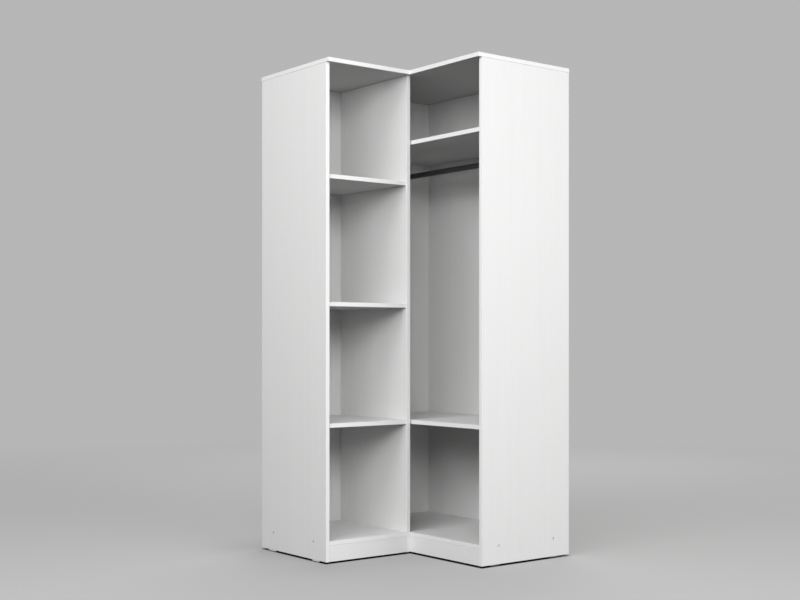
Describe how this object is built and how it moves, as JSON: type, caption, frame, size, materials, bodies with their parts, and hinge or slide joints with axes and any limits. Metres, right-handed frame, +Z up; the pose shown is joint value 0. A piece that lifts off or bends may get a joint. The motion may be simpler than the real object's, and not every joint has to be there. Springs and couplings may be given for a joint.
{
  "type": "corner wardrobe",
  "caption": "Open L-shaped corner wardrobe of white laminated board: a shelf wing and a hanging wing with a hat shelf, rail and low shelf, on a plinth with glides.",
  "frame": {"origin": "middle of the footprint's bounding box, on the floor", "axes": "+Z up; the left wing opens towards +X, the right wing opens towards -Y, and the room corner is at -X and +Y"},
  "size_m": [0.975, 0.948, 2.102],
  "materials": {
    "white_laminate": "white melamine laminate with a fine satin grain",
    "white_hardboard": "white lacquered hardboard",
    "dark_tube": "dark grey coated steel tube, satin",
    "dark_plastic": "dark grey moulded plastic",
    "zinc_steel": "bright zinc plated steel",
    "pale_plastic": "pale moulded plastic"
  },
  "bodies": {
    "root": {"left_side_panel": "white_laminate", "partition_panel": "white_laminate", "right_side_panel": "white_laminate", "corner_end_panel": "white_laminate", "top_panel": "white_laminate", "left_bottom_panel": "white_laminate", "right_bottom_panel": "white_laminate", "left_plinth": "white_laminate", "right_plinth": "white_laminate", "left_low_shelf": "white_laminate", "left_middle_shelf": "white_laminate", "left_high_shelf": "white_laminate", "right_low_shelf": "white_laminate", "hat_shelf": "white_laminate", "left_back_sheet": "white_hardboard", "right_low_back_sheet": "white_hardboard", "right_high_back_sheet": "white_hardboard", "left_side_glide_1": "pale_plastic", "left_side_glide_2": "pale_plastic", "partition_glide_1": "pale_plastic", "partition_glide_2": "pale_plastic", "right_side_glide_1": "pale_plastic", "right_side_glide_2": "pale_plastic", "corner_end_glide_1": "pale_plastic", "corner_end_glide_2": "pale_plastic", "left_low_shelf_pin_1": "zinc_steel", "left_low_shelf_pin_2": "zinc_steel", "left_low_shelf_pin_3": "zinc_steel", "left_low_shelf_pin_4": "zinc_steel", "left_middle_shelf_pin_1": "zinc_steel", "left_middle_shelf_pin_2": "zinc_steel", "left_middle_shelf_pin_3": "zinc_steel", "left_middle_shelf_pin_4": "zinc_steel", "left_high_shelf_pin_1": "zinc_steel", "left_high_shelf_pin_2": "zinc_steel", "left_high_shelf_pin_3": "zinc_steel", "left_high_shelf_pin_4": "zinc_steel", "right_low_shelf_pin_1": "zinc_steel", "right_low_shelf_pin_2": "zinc_steel", "right_low_shelf_pin_3": "zinc_steel", "right_low_shelf_pin_4": "zinc_steel", "hat_shelf_pin_1": "zinc_steel", "hat_shelf_pin_2": "zinc_steel", "hat_shelf_pin_3": "zinc_steel", "hat_shelf_pin_4": "zinc_steel", "top_screw_left_side_1": "zinc_steel", "top_screw_left_side_2": "zinc_steel", "top_screw_partition_1": "zinc_steel", "top_screw_partition_2": "zinc_steel", "top_screw_right_side_1": "zinc_steel", "top_screw_right_side_2": "zinc_steel", "top_screw_corner_end_1": "zinc_steel", "top_screw_corner_end_2": "zinc_steel", "bottom_screw_left_1": "zinc_steel", "bottom_screw_left_2": "zinc_steel", "bottom_screw_right_1": "zinc_steel", "bottom_screw_right_2": "zinc_steel", "hanging_rail": "dark_tube", "rail_socket_corner": "dark_plastic", "rail_socket_right": "dark_plastic"}
  },
  "joints": []
}
